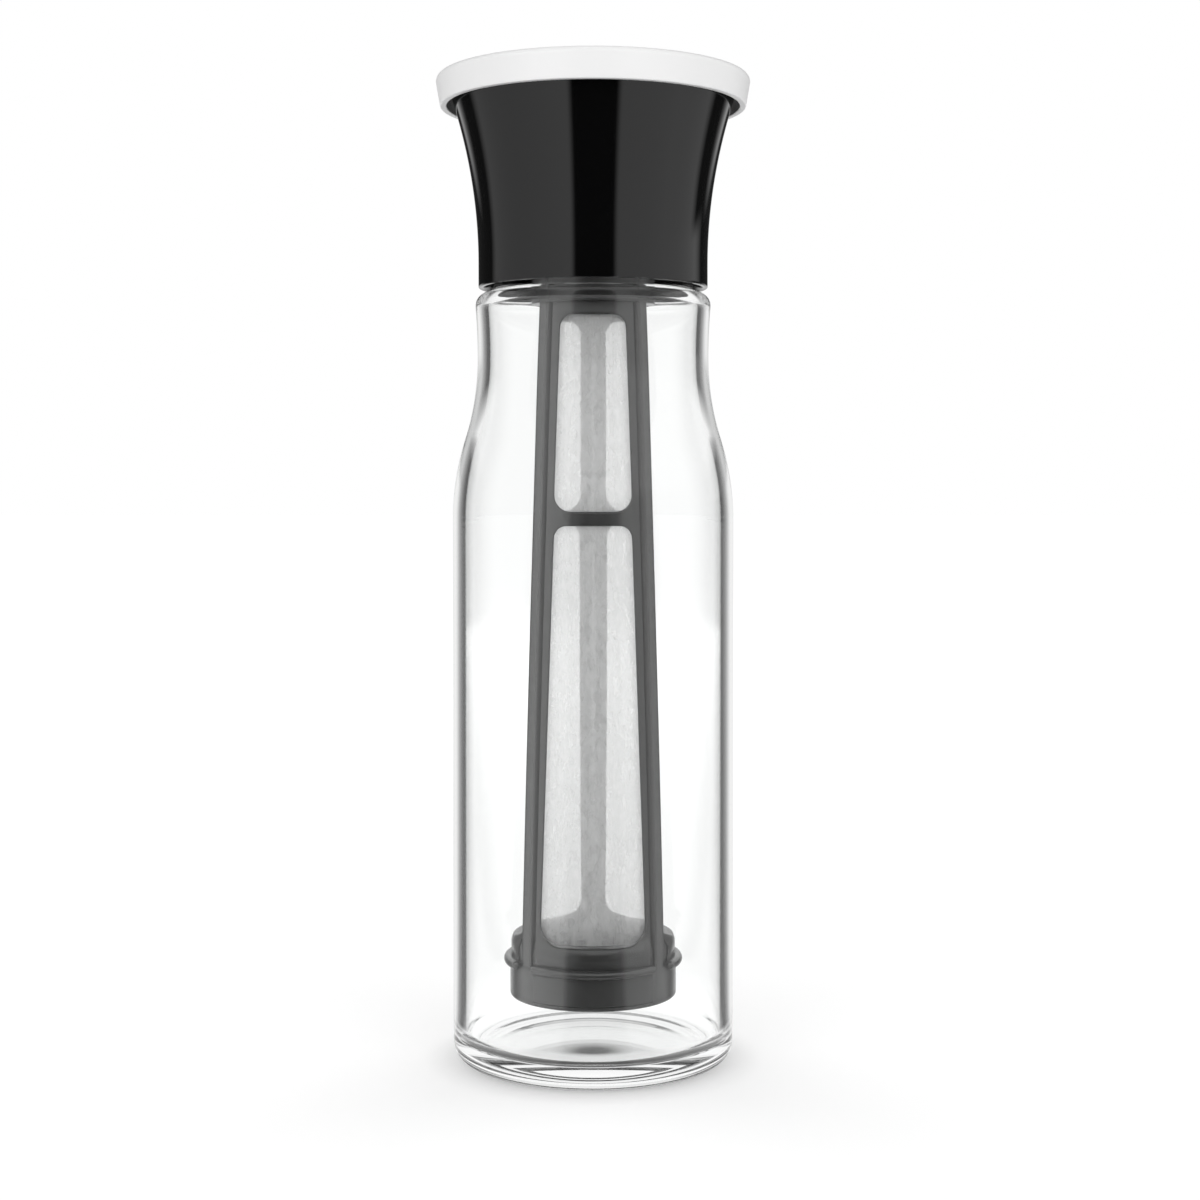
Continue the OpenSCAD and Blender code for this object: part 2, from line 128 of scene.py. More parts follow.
def plus(tree, first, second):
    return math_node(tree, "ADD", first, second)


def minus(tree, first, second):
    return math_node(tree, "SUBTRACT", first, second)


def times(tree, first, second):
    return math_node(tree, "MULTIPLY", first, second)


def grey(level):
    return (level, level, level, 1)


def new_group(name, kind, inputs, outputs):
    """inputs: (label, kind) or (label, kind, first value), outputs: (label, kind)."""
    tree = bpy.data.node_groups.new(name, kind + "NodeTree")
    for label, socket_kind, *value in inputs:
        socket = tree.interface.new_socket(label, in_out="INPUT", socket_type="NodeSocket" + socket_kind)
        if value:
            socket.default_value = value[0]
    for label, socket_kind in outputs:
        tree.interface.new_socket(label, in_out="OUTPUT", socket_type="NodeSocket" + socket_kind)
    return tree, tree.nodes.new("NodeGroupInput").outputs, tree.nodes.new("NodeGroupOutput").inputs


print("a new scene has", len(bpy.data.node_groups), "node groups")

# %% Build the spinning tree
SEAM_MERGE = 2e-7


def painted(tree, geometry, start, end):
    """The last steps of a rule: real geometry with its finish."""
    real = add_node(tree, "GeometryNodeRealizeInstances", {0: geometry})
    finished = {"Geometry": real.outputs[0], "Material": start["Finish"]}
    paint = add_node(tree, "GeometryNodeSetMaterial", finished)
    link(tree, paint.outputs[0], end["Mesh"])


def spin_tree():
    inputs = [("Outline", "Geometry"), ("Steps", "Int"), ("Finish", "Material")]
    tree, start, end = new_group("spin_outline", "Geometry", inputs, [("Mesh", "Geometry")])
    outline = {"Geometry": start["Outline"]}
    count = add_node(tree, "GeometryNodeAttributeDomainSize", outline).outputs["Point Count"]
    columns = plus(tree, start["Steps"], 1)
    grid = add_node(tree, "GeometryNodeMeshGrid", {"Vertices X": count, "Vertices Y": columns})
    place = add_node(tree, "GeometryNodeInputPosition").outputs[0]
    split = add_node(tree, "ShaderNodeSeparateXYZ", {0: place}).outputs
    row = math_node(tree, "ROUND", times(tree, plus(tree, split["X"], 0.5), minus(tree, count, 1)))
    turn = times(tree, plus(tree, split["Y"], 0.5), 2 * math.pi)
    at_row = {**outline, "Value": place, "Index": row}
    sample = add_node(tree, "GeometryNodeSampleIndex", at_row, data_type="FLOAT_VECTOR")
    turned = {"Vector": sample.outputs["Value"], "Angle": turn}
    rotate = add_node(tree, "ShaderNodeVectorRotate", turned, rotation_type="Z_AXIS")
    moved = {"Geometry": grid.outputs["Mesh"], "Position": rotate.outputs[0]}
    put = add_node(tree, "GeometryNodeSetPosition", moved)
    seam = {"Geometry": put.outputs[0], "Distance": SEAM_MERGE}
    merge = add_node(tree, "GeometryNodeMergeByDistance", seam)
    painted(tree, merge.outputs[0], start, end)
    return tree


SPIN = spin_tree()
print("spinning tree:", len(SPIN.nodes), "nodes")

# %% [markdown]
# A modifier's input is set by its socket's identifier. The evaluated result becomes a plain mesh
# in a new object at the origin, the faces are made to point outwards, and the helper goes away.

# %% Turn a tree's result into a plain piece
MM = 0.001
MESH_MERGE = 1e-7


def outward(mesh):
    work = bmesh.new()
    work.from_mesh(mesh)
    bmesh.ops.remove_doubles(work, verts=work.verts, dist=MESH_MERGE)
    bmesh.ops.dissolve_degenerate(work, edges=work.edges, dist=MESH_MERGE)
    bmesh.ops.recalc_face_normals(work, faces=work.faces)
    work.to_mesh(mesh)
    work.free()


def add_piece(name, mesh, body):
    outward(mesh)
    mesh.shade_smooth()
    piece = new_object(name, mesh)
    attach(piece, body)
    print(name, "has", len(mesh.polygons), "faces")
    return piece


def plain_piece(name, helper, body):
    graph = bpy.context.evaluated_depsgraph_get()
    mesh = bpy.data.meshes.new_from_object(helper.evaluated_get(graph))
    mesh.name = name
    helper.modifiers.clear()
    bpy.data.objects.remove(helper)
    return add_piece(name, mesh, body)


def helper_with(name, points, edges, tree, **values):
    mesh = bpy.data.meshes.new(name + "_outline")
    mesh.from_pydata(points, edges, [])
    helper = new_object(name + "_outline", mesh)
    modifier = helper.modifiers.new("rule", "NODES")
    modifier.node_group = tree
    for label, value in values.items():
        modifier[tree.interface.items_tree[label.replace("_", " ")].identifier] = value
    return helper


def spun(name, outline, finish, body, steps=192):
    points = [(r * MM, 0, z * MM) for r, z in outline]
    edges = [(k, k + 1) for k in range(len(points) - 1)]
    helper = helper_with(name, points, edges, SPIN, Steps=steps, Finish=finish)
    return plain_piece(name, helper, body)


print("pieces are merged within", MESH_MERGE, "m")

# %% [markdown]
# ## Outlines with rounded corners
# Moulded and blown pieces have no razor edges. Each corner of an outline may carry a radius, and
# the helper below puts a small arc there, with one extra point on each side so that smooth
# shading stays flat on the walls beside it.

# %% Round the corners of an outline
ROOM_SHARE = 0.49
FLAT_SHARE, FLAT_MOST = 0.3, 0.1


def arc(r0, z0, radius, from_angle, to_angle, steps):
    angles = np.radians(np.linspace(from_angle, to_angle, steps + 1))
    return [(r0 + radius * math.cos(a), z0 + radius * math.sin(a)) for a in angles]


def rounded(corners, step=15):
    """corners: (r, z) or (r, z, radius). Gives the closed outline with an arc at every radius."""
    out = []
    places = [np.array(corner[:2], dtype=float) for corner in corners]
    for k, here in enumerate(places):
        if len(corners[k]) < 3:
            out.append(tuple(here))
            continue
        radius = corners[k][2]
        before, after = places[k - 1] - here, places[(k + 1) % len(places)] - here
        room = min(np.linalg.norm(before), np.linalg.norm(after))
        before, after = before / np.linalg.norm(before), after / np.linalg.norm(after)
        half = math.acos(float(np.clip(before @ after, -1, 1))) / 2
        reach = min(radius / math.tan(half), room * ROOM_SHARE)
        radius = reach * math.tan(half)
        middle = here + (before + after) / np.linalg.norm(before + after) * radius / math.sin(half)
        first, last = here + before * reach, here + after * reach
        turn = math.pi - 2 * half
        steps = max(2, int(math.degrees(turn) / step) + 1)
        flat = min(radius * FLAT_SHARE, FLAT_MOST)
        out.append(tuple(first + before * flat))
        a, b = first - middle, last - middle
        for t in (i / steps for i in range(steps + 1)):
            blend = math.sin((1 - t) * turn) * a + math.sin(t * turn) * b
            out.append(tuple(middle + blend / math.sin(turn)))
        out.append(tuple(last + after * flat))
    return [*out, out[0]]


print("a triangle with round corners has", len(rounded([(0, 0, 1), (9, 0, 1), (9, 9, 1)])), "points")

# %% [markdown]
# ## Surface effects that several finishes share
# Moulded plastic is never one flat colour. It has a fine grain from the tool's surface, and a soft
# drift in tone and gloss where the melt flowed. Both come from one node group. Its inputs set the
# size of the grain and how strong each effect is, and every finish places it with its own values.

# %% Build the moulded-skin group
DRIFT_SIZE = 45.0


def object_place(tree):
    return add_node(tree, "ShaderNodeTexCoord").outputs["Object"]


def noise(tree, vector, scale, detail, rough=0.5):
    inputs = {"Vector": vector, "Scale": scale, "Detail": detail, "Roughness": rough}
    return add_node(tree, "ShaderNodeTexNoise", inputs).outputs[0]


def skin_group():
    inputs = [
        ("Colour", "Color", (0.5, 0.5, 0.5, 1)), ("Tone Drift", "Float", 0.05), ("Roughness", "Float", 0.4),
        ("Gloss Drift", "Float", 0.05), ("Grain Size", "Float", 1500.0),
    ]
    outputs = [("Colour", "Color"), ("Roughness", "Float"), ("Height", "Float")]
    tree, start, end = new_group("moulded_skin", "Shader", inputs, outputs)
    place = object_place(tree)
    drift = minus(tree, noise(tree, place, DRIFT_SIZE, 3.0), 0.5)
    grain = noise(tree, place, start["Grain Size"], 3.0, 0.6)
    tone = {0: start["Colour"], "Scale": plus(tree, 1.0, times(tree, drift, start["Tone Drift"]))}
    link(tree, add_node(tree, "ShaderNodeVectorMath", tone, operation="SCALE").outputs[0], end["Colour"])
    wide = times(tree, drift, start["Gloss Drift"])
    fine = times(tree, minus(tree, grain, 0.5), start["Gloss Drift"])
    link(tree, plus(tree, start["Roughness"], plus(tree, wide, fine)), end["Roughness"])
    link(tree, grain, end["Height"])
    return tree


SKIN = skin_group()
print("moulded skin group:", len(SKIN.nodes), "nodes")

# %% [markdown]
# Plastics then differ only in the values they hand to the group and to the shader's own sockets.

# %% Make a moulded plastic
PLASTIC_IOR, GRAIN_BUMP = 1.5, 0.5


def bare_material(name):
    material = bpy.data.materials.new(name)
    material.use_nodes = True
    tree = material.node_tree
    return material, tree, tree.nodes["Principled BSDF"]


def place_group(tree, group, **values):
    node = add_node(tree, "ShaderNodeGroup", node_tree=group)
    give(tree, node, {label.replace("_", " "): value for label, value in values.items()})
    return node.outputs


def bump(tree, height, strength, distance, shader):
    node = add_node(tree, "ShaderNodeBump", {"Height": height, "Strength": strength, "Distance": distance})
    link(tree, node.outputs[0], shader.inputs["Normal"])


def moulded(name, colour, rough, drift, gloss_drift, grain, depth, specular=0.5):
    material, tree, shader = bare_material(name)
    skin = place_group(
        tree, SKIN, Colour=(*colour, 1), Tone_Drift=drift, Roughness=rough, Gloss_Drift=gloss_drift,
        Grain_Size=grain,
    )
    give(tree, shader, {"Base Color": skin["Colour"], "Roughness": skin["Roughness"]})
    give(tree, shader, {"Specular IOR Level": specular, "IOR": PLASTIC_IOR})
    bump(tree, skin["Height"], GRAIN_BUMP, depth, shader)
    return material


def soften(material, weight, reach):
    tree = material.node_tree
    values = {"Subsurface Weight": weight, "Subsurface Radius": (reach, reach, reach)}
    give(tree, tree.nodes["Principled BSDF"], values)


cage_finish = moulded("cage_grey", (0.036, 0.036, 0.0355), 0.22, 0.2, 0.04, 1800.0, 6e-7, 1.0)
collar_finish = moulded("collar_black", (0.0018, 0.0018, 0.0019), 0.07, 0.3, 0.03, 900.0, 2e-6)
cap_finish = moulded("cap_white", (0.76, 0.76, 0.76), 0.34, 0.03, 0.08, 2200.0, 4e-6)
soften(cap_finish, 0.05, 0.002)
silicone_finish = moulded("seal_silicone", (0.62, 0.64, 0.64), 0.5, 0.08, 0.1, 1800.0, 2e-5)
soften(silicone_finish, 0.3, 0.003)
gasket_finish = moulded("gasket_black", (0.012, 0.012, 0.012), 0.45, 0.2, 0.1, 1800.0, 1e-5)
plastics = (cage_finish, collar_finish, cap_finish, silicone_finish, gasket_finish)
print("plastics:", [finish.name for finish in plastics])

# %% [markdown]
# ## The glass
# Blown glass is clear, but its skin isn't perfectly true. Long, very shallow waves run up the
# wall, and they bend the highlights a little. The bump is stretched along the height for that.
# Clear glass casts hardly any shadow, so the rays that look for a lamp pass almost freely.

# %% Make the glass finish
GLASS_IOR, GLASS_TINT = 1.47, (0.995, 1.0, 0.998, 1)
WAVE_SIZE, WAVE_SQUEEZE, WAVE_BUMP, WAVE_DEPTH = 60.0, 0.18, 0.25, 0.00004
SHADOW_PASS = 0.97


def stretched_place(tree, squeeze):
    """The place on the object, drawn out along Z."""
    inputs = {"Vector": object_place(tree), "Scale": (1, 1, squeeze)}
    return add_node(tree, "ShaderNodeMapping", inputs).outputs[0]


def glass_material():
    material, tree, shader = bare_material("clear_glass")
    give(tree, shader, {"Base Color": GLASS_TINT, "Roughness": 0.0, "IOR": GLASS_IOR})
    waves = noise(tree, stretched_place(tree, WAVE_SQUEEZE), WAVE_SIZE, 1.0)
    bump(tree, waves, WAVE_BUMP, WAVE_DEPTH, shader)
    shade = add_node(tree, "ShaderNodeLightPath").outputs["Is Shadow Ray"]
    alpha = minus(tree, 1.0, times(tree, shade, SHADOW_PASS))
    give(tree, shader, {"Transmission Weight": 1.0, "Alpha": alpha})
    return material


glass_finish = glass_material()
print("glass finish:", glass_finish.name)

# %% [markdown]
# The carafe is one wall of glass: a thick floor with a push-up, a straight body, a waist drawn in
# by two arcs that meet smoothly, a rounded shoulder, and a straight neck with a fire-polished
# lip. The inner wall follows the outer one at the thickness of the blow, and rises into the neck
# in one soft curve.

# %% Shape the glass
GLASS_R, WAIST_R, SHOULDER_R, NECK_R = 38.65, 31.75, 32.3, 27.5
GLASS_WALL, NECK_WALL = 3.4, 2.3
BODY_Z, WAIST_Z, SHOULDER_Z, LIP_Z = 148.5, 193.5, 207.5, 234.0
SHOULDER_ROUND, FOOT_ROUND, FLOOR_ROUND, FLOOR_Z = 3.6, 5.6, 5.0, 5.8
STAND_W, PUSH_UP, FLOOR_RISE, NECK_FILLET = 3, 2.2, 1.6, 1.2
CURVE_ABOVE, CURVE_BELOW = 1.2, 4
FIRST_ROW, ROW_STEP = 1.2, 1.25
BORE_R = NECK_R - NECK_WALL
NECK_Z = SHOULDER_Z + SHOULDER_ROUND


def glass_side(z):
    height, width = WAIST_Z - BODY_Z, GLASS_R - WAIST_R
    bend = (height**2 + width**2) / (4 * width)
    if z <= BODY_Z:
        return GLASS_R
    if z <= BODY_Z + height / 2:
        return GLASS_R - bend + math.sqrt(bend**2 - (z - BODY_Z) ** 2)
    if z <= WAIST_Z:
        return WAIST_R + bend - math.sqrt(bend**2 - (WAIST_Z - z) ** 2)
    return WAIST_R + (SHOULDER_R - WAIST_R) * ((z - WAIST_Z) / (SHOULDER_Z - WAIST_Z)) ** 2


def dome(radius, low, rise, steps, outwards):
    bend = (radius**2 + rise**2) / (2 * rise)
    shares = np.linspace(0, 1, steps) if outwards else np.linspace(1, 0, steps)
    return [(radius * s, low + rise - bend + math.sqrt(bend**2 - (radius * s) ** 2)) for s in shares]


def outer_wall():
    foot_r = GLASS_R - FOOT_ROUND
    lip = NECK_WALL / 2
    wall = dome(foot_r - STAND_W, 0, PUSH_UP, 16, True)
    wall += arc(foot_r, FOOT_ROUND, FOOT_ROUND, -90, 0, 24)
    wall += [(GLASS_R, z) for z in (7, 12, 30, 60, 90, 120, 144, 147)]
    wall += [(glass_side(z), z) for z in np.arange(BODY_Z, SHOULDER_Z, ROW_STEP)]
    wall += arc(SHOULDER_R - SHOULDER_ROUND, SHOULDER_Z, SHOULDER_ROUND, 4, 90, 20)
    wall += arc(NECK_R + NECK_FILLET, NECK_Z + NECK_FILLET, NECK_FILLET, -90, -180, 8)
    wall += [(NECK_R, z) for z in (213.5, 222, 231, 232.5)]
    return wall + arc(NECK_R - lip, LIP_Z - lip, lip, 0, 180, 16)


def inner_wall():
    top, drop = NECK_Z - CURVE_BELOW, CURVE_ABOVE + CURVE_BELOW
    spread = glass_side(top) - GLASS_WALL - BORE_R
    floor_r = GLASS_R - GLASS_WALL - FLOOR_ROUND
    shares = np.linspace(0, 1, 26)
    wall = [(BORE_R, z) for z in (232.5, 226, 217, 214)]
    wall += [(BORE_R + spread * (t * t * (3 - 2 * t)), NECK_Z + CURVE_ABOVE - drop * t) for t in shares]
    wall += [(glass_side(z) - GLASS_WALL, z) for z in np.arange(top - FIRST_ROW, BODY_Z, -ROW_STEP)]
    wall += [(GLASS_R - GLASS_WALL, z) for z in (148, 144, 120, 90, 60, 30, 14, 12.5)]
    wall += arc(floor_r, FLOOR_Z + FLOOR_ROUND, FLOOR_ROUND, 0, -90, 24)
    return wall + dome(floor_r, FLOOR_Z, FLOOR_RISE, 20, False)[1:]


glass = spun("glass_wall", outer_wall() + inner_wall(), glass_finish, "carafe")
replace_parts(glass, "glass_body")

# %% [markdown]
# ## The rule of the infuser cage
# The cage is a three-sided tapered tube. Its posts stand at three corners and bow out slightly.
# Between them, each face bulges as a shallow arc. The functions below give the face's distance
# from the axis at any width and height. Near the foot, the face blends into the round cup, so
# the larger of the two surfaces is taken, with a soft changeover like a moulded fillet.

# %% Write the cage's surface as functions
CORNERS = (-38.0, 90.0, 218.0, 322.0)
RIGHT, LEFT, FRONT = 0, 1, 2
CAGE_Z, CAGE_TOP, CAGE_FOOT_R, CAGE_TOP_R, CAGE_BOW = 26.0, 208.5, 22.85, 16.7, 0.38
FACE_ARC, FACE_STEP, FACE_WALL, FILLET = 28.2 / CAGE_FOOT_R, 0.35, 1.7, 0.5
POST_W, GROOVE_W, GROOVE_D = 4.4, 0.6, 0.6
CUP_R, CUP_STEP, BEAD_Z, SHELF_Z = 22.95, 0.3, 28.0, 32.6
CUP_GROOVE_UP, CUP_GROOVE_W = 1.55, 0.32
SLOPE_R, SLOPE_H, CUP_GONE = 4.5, 4.2, 5


def post_radius(z):
    t = (z - CAGE_Z) / (CAGE_TOP - CAGE_Z)
    return CAGE_FOOT_R + (CAGE_TOP_R - CAGE_FOOT_R) * t + 4 * CAGE_BOW * t * (1 - t)


def face_angles(i):
    """The direction of the middle of face i, and half of the angle it spans."""
    return math.radians((CORNERS[i] + CORNERS[i + 1]) / 2), math.radians((CORNERS[i + 1] - CORNERS[i]) / 2)


def face_pull(half):
    return math.sqrt(FACE_ARC**2 - math.sin(half) ** 2) - math.cos(half)


def cup_radius(z):
    lift = np.clip((z - SHELF_Z) / SLOPE_H, 0, 1)
    groove = GROOVE_D * np.exp(-(((z - BEAD_Z - CUP_GROOVE_UP) / CUP_GROOVE_W) ** 4))
    return CUP_R - CUP_STEP - SLOPE_R * (1 - np.sqrt(1 - lift**2)) - groove


def face_depth(i, x, z, behind=0.0):
    """How far the surface of face i lies from the axis, at width x and height z."""
    half = face_angles(i)[1]
    r = post_radius(z) - FACE_STEP
    face = np.sqrt((FACE_ARC * r - behind) ** 2 - x**2) - face_pull(half) * r
    if behind > FACE_WALL / 2:
        return face
    cup = np.sqrt(np.maximum(cup_radius(z) ** 2 - x**2, 1))
    cup = np.where(z < SHELF_Z + SLOPE_H, cup, face - CUP_GONE) - behind
    return (face + cup + np.sqrt((face - cup) ** 2 + FILLET**2)) / 2


def face_edge(i, z):
    """Half of the width of face i at height z, up to the groove beside the post."""
    half = face_angles(i)[1]
    post = post_radius(z)
    a = half - np.arcsin(POST_W / 2 / post) - np.arcsin(GROOVE_W / post)
    pull = face_pull(half)
    share = np.sqrt(FACE_ARC**2 - (pull * np.sin(a)) ** 2) - pull * np.cos(a)
    return (post - FACE_STEP) * share * np.sin(a)


def on_face(i, x, z, behind=0.0):
    """Points on face i, as (x, y, z) in the carafe's frame."""
    middle = face_angles(i)[0]
    depth = face_depth(i, x, z, behind)
    cos, sin = math.cos(middle), math.sin(middle)
    return np.stack([depth * cos - x * sin, depth * sin + x * cos, z], axis=-1)


print("post radius at foot and top:", post_radius(CAGE_Z), post_radius(CAGE_TOP), "mm")

# %% [markdown]
# ## The windows
# Each face has two windows with round corners, one above the other. The wall round a window is
# made as rings of points. They start on the straight border of the panel, close in on the window,
# roll over its rounded edge, pass through the wall and return on the inside.

# %% Outline a window
SILL_Z, BAR_Z, BAR_H, WINDOW_TOP = 34.8, 149.2, 3.8, 204.1
WINDOW_FOOT_W, WINDOW_HEAD_W, SIDE_EXTRA = 13.8, 8.7, 3.1
SILL_ROUND, BAR_ROUND, WINDOW_ROUND = 5.0, 4.4, 3.3
ACROSS, ALONG, CORNER_POINTS = 28, 64, 9
PANEL_Z = 27.0


def resample(points, count):
    points = np.array(points)
    walk = np.concatenate([[0], np.cumsum(np.linalg.norm(np.diff(points, axis=0), axis=1))])
    at = np.linspace(0, walk[-1], count)
    return np.stack([np.interp(at, walk, points[:, k]) for k in range(2)], axis=-1)


def mirrored(points):
    return [p * (-1, 1) for p in points[::-1]]


def joined(*sides):
    return np.concatenate([side[:-1] for side in sides])


def window_loop(i, low, high, low_round, grow):
    """The window's outline, grown by a margin: bottom, right, top and left, as (x, z) points."""
    extra = 0 if i == FRONT else SIDE_EXTRA
    taper = (WINDOW_FOOT_W - WINDOW_HEAD_W) / (WINDOW_TOP - SILL_Z)
    low_w, high_w = (WINDOW_FOOT_W + extra - taper * (z - SILL_Z) for z in (low, high))
    foot = np.array([low_w - low_round, low + low_round])
    head = np.array([high_w - WINDOW_ROUND, high - WINDOW_ROUND])
    step = head - foot
    lean = math.asin((low_round - WINDOW_ROUND) / np.linalg.norm(step)) - math.atan2(step[0], step[1])

    def corner(centre, radius, a, b):
        angles = np.linspace(a, b, CORNER_POINTS)
        return [centre + (radius + grow) * np.array([math.cos(t), math.sin(t)]) for t in angles]

    quarter = math.pi / 4
    right = corner(foot, low_round, -quarter, lean) + corner(head, WINDOW_ROUND, lean, quarter)
    half_low = corner(foot, low_round, -2 * quarter, -quarter)
    half_high = corner(head, WINDOW_ROUND, quarter, 2 * quarter)
    bottom, top = mirrored(half_low) + half_low, half_high + mirrored(half_high)
    across = [resample(side, ACROSS) for side in (bottom, top)]
    along = [resample(side, ALONG) for side in (right, mirrored(right))]
    return joined(across[0], along[0], across[1], along[1])


def panel_border(i, low, high):
    """The straight border of the panel round one window."""
    zs = np.linspace(low, high, ALONG)
    edge = face_edge(i, zs)
    bottom = np.stack([np.linspace(-edge[0], edge[0], ACROSS), np.full(ACROSS, low)], axis=-1)
    top = np.stack([np.linspace(edge[-1], -edge[-1], ACROSS), np.full(ACROSS, high)], axis=-1)
    right = np.stack([edge, zs], axis=-1)
    left = np.stack([-edge[::-1], zs[::-1]], axis=-1)
    return joined(bottom, right, top, left)


print("a window loop has", len(window_loop(FRONT, SILL_Z, BAR_Z - BAR_H / 2, SILL_ROUND, 0)), "points")

# %% Join the rings of one panel
EDGE_ROUND, BACK_ROUND, NEAR_GAP = 0.4, 0.2, 0.25
CLOSE_IN = (0, 0.04, 0.15, 0.35, 0.6, 0.85, 1)
OPEN_OUT = (0.7, 0.35, 0)
ROLL = np.radians([0, 22, 45, 68, 90])


class Shell:
    """Collects points and faces, in millimetres, and makes one mesh of them."""

    def __init__(self):
        self.points, self.faces, self.count = [], [], 0

    def add(self, points):
        start = self.count
        self.points.append(np.asarray(points, dtype=float))
        self.count += len(points)
        return start

    def add_rows(self, rows, closed=False):
        """Joins each row to the next, and gives the number of each row's first point."""
        count = len(rows[0])
        starts = [self.add(row) for row in rows]
        for first, second in zip(starts[:-1], starts[1:], strict=True):
            for k in range(count if closed else count - 1):
                n = (k + 1) % count
                self.faces.append((first + k, first + n, second + n, second + k))
        return starts

    def wall(self, first, second, at):
        """One face between two layers of points, beside point number at."""
        self.faces.append((first + at, first + at + 1, second + at + 1, second + at))

    def mesh(self, name, finish):
        mesh = bpy.data.meshes.new(name)
        mesh.from_pydata((np.concatenate(self.points) * MM).tolist(), [], self.faces)
        mesh.materials.append(finish)
        return mesh


def add_panel(shell, i, low, high, sill, head, sill_round):
    def loop(grow):
        return window_loop(i, sill, head, sill_round, grow)

    border, near = panel_border(i, low, high), loop(EDGE_ROUND + NEAR_GAP)
    loops = [(border * (1 - t) + near * t, 0.0) for t in CLOSE_IN]
    loops += [(loop(EDGE_ROUND * (1 - math.sin(t))), EDGE_ROUND * (1 - math.cos(t))) for t in ROLL]
    for t in ROLL[::-2]:
        loops.append((loop(BACK_ROUND * (1 - math.sin(t))), FACE_WALL - BACK_ROUND * (1 - math.cos(t))))
    loops += [(border * (1 - t) + near * t, FACE_WALL) for t in OPEN_OUT]
    rows = [on_face(i, ring[:, 0], ring[:, 1], behind) for ring, behind in loops]
    starts = shell.add_rows(rows, closed=True)
    return starts[0], starts[-1]


print("rings that roll over a window edge:", len(ROLL))

# %% [markdown]
# ## The posts and their grooves
# Each post is a bar with rounded edges between two narrow grooves. One cross-section is drawn in
# the post's own frame, across and outwards, for all heights at once, and its first and last
# points are the edges of the two faces beside it.

# %% Add the posts
LEVELS = np.concatenate([np.linspace(PANEL_Z, BAR_Z, ALONG), np.linspace(BAR_Z, CAGE_TOP, ALONG)[1:]])
POST_ROUND = 0.35


def post_half(u_edge, w_edge, radius):
    """From the face's edge to the post's middle, as (across, outwards) arrays over the height."""
    side, top = POST_W / 2, np.sqrt(radius**2 - (POST_W / 2) ** 2)
    low = w_edge - GROOVE_D
    out = [(u_edge, w_edge), (u_edge - 0.03, w_edge - 0.05), (u_edge - 0.09, w_edge - 0.14)]
    out += [(u_edge - 0.12, low + 0.15), (u_edge - 0.22, low), (side + 0.14, low), (side, low + 0.14)]
    out += [(side, top - POST_ROUND - 0.1)]
    for u, w in [(POST_ROUND * math.cos(t), POST_ROUND * math.sin(t)) for t in ROLL]:
        out.append((side - POST_ROUND + u, top - POST_ROUND + w))
    out += [(x, np.sqrt(radius**2 - x**2)) for x in (side - POST_ROUND - 0.12, 0.8)]
    return [(np.broadcast_to(u, radius.shape), np.broadcast_to(w, radius.shape)) for u, w in out]


def add_post(shell, c):
    angle = math.radians(CORNERS[c])
    cos, sin = math.cos(angle), math.sin(angle)
    out, across = np.array([cos, sin, 0]), np.array([-sin, cos, 0])
    before, after = (c - 1) % 3, c
    radius = post_radius(LEVELS)
    edge_b, edge_a = face_edge(before, LEVELS), -face_edge(after, LEVELS)
    up = np.stack([0 * LEVELS, 0 * LEVELS, LEVELS], axis=-1)

    def row(u, w):
        return up + w[:, None] * out + u[:, None] * across

    first, last = on_face(before, edge_b, LEVELS), on_face(after, edge_a, LEVELS)
    left = post_half(-(first @ across), first @ out, radius)
    right = post_half(last @ across, last @ out, radius)
    rows = [row(-u, w) for u, w in left] + [row(0 * radius, radius)] + [row(u, w) for u, w in right[::-1]]
    outer = shell.add_rows(rows)
    corner = row(0 * radius, radius - FACE_STEP - FACE_WALL)
    back_b, back_a = on_face(before, edge_b, LEVELS, FACE_WALL), on_face(after, edge_a, LEVELS, FACE_WALL)
    inner = shell.add_rows([back_b, corner, back_a])
    for k in (0, len(LEVELS) - 1):
        shell.faces.append(tuple(s + k for s in outer + inner[::-1]))


def cage_mesh():
    shell = Shell()
    for i in range(3):
        lower = add_panel(shell, i, PANEL_Z, BAR_Z, SILL_Z, BAR_Z - BAR_H / 2, SILL_ROUND)
        upper = add_panel(shell, i, BAR_Z, CAGE_TOP, BAR_Z + BAR_H / 2, WINDOW_TOP, BAR_ROUND)
        for k in range(ACROSS - 1):
            shell.wall(*lower, k)
            shell.wall(*upper, ACROSS + ALONG - 2 + k)
    for c in range(3):
        add_post(shell, c)
    return shell.mesh("infuser_cage", cage_finish)


def open_edges(mesh):
    work = bmesh.new()
    work.from_mesh(mesh)
    count = sum(1 for e in work.edges if len(e.link_faces) != 2)
    work.free()
    return count


cage = add_piece("infuser_cage", cage_mesh(), "infuser")
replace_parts(cage, "infuser_frame")
print("open edges of the cage:", open_edges(cage.data))

# %% [markdown]
# ## The cup, the tube and the bead
# The cup wall and the round tube above the cage are turned shapes, so the spinning tree makes
# them. The bead runs round the cup in three arcs and stops beside each post with a domed end.
# That repeats, so it is a tree of its own: an arc for each face, swept with a small circle whose
# radius falls to nothing over the last bit of the arc.

# %% Spin the cup wall and the tube
cup_outline = rounded([
    (20.95, 19.2), (22.95, 19.2, 0.25), (22.95, 28.0, 0.12), (22.2, 28.0), (22.2, 29.0), (20.95, 29.0),
])
spun("infuser_cup", cup_outline, cage_finish, "infuser", 160)
tube_outline = rounded([
    (11.8, 207.9), (17.0, 207.9, 0.25), (17.0, 223.6), (18.55, 223.6, 0.2), (18.55, 226.0), (17.0, 226.0),
    (17.0, 236.2, 0.3), (15.4, 236.2, 0.3), (15.4, 209.1), (11.8, 209.1),
])
spun("infuser_tube", tube_outline, cage_finish, "infuser", 128)

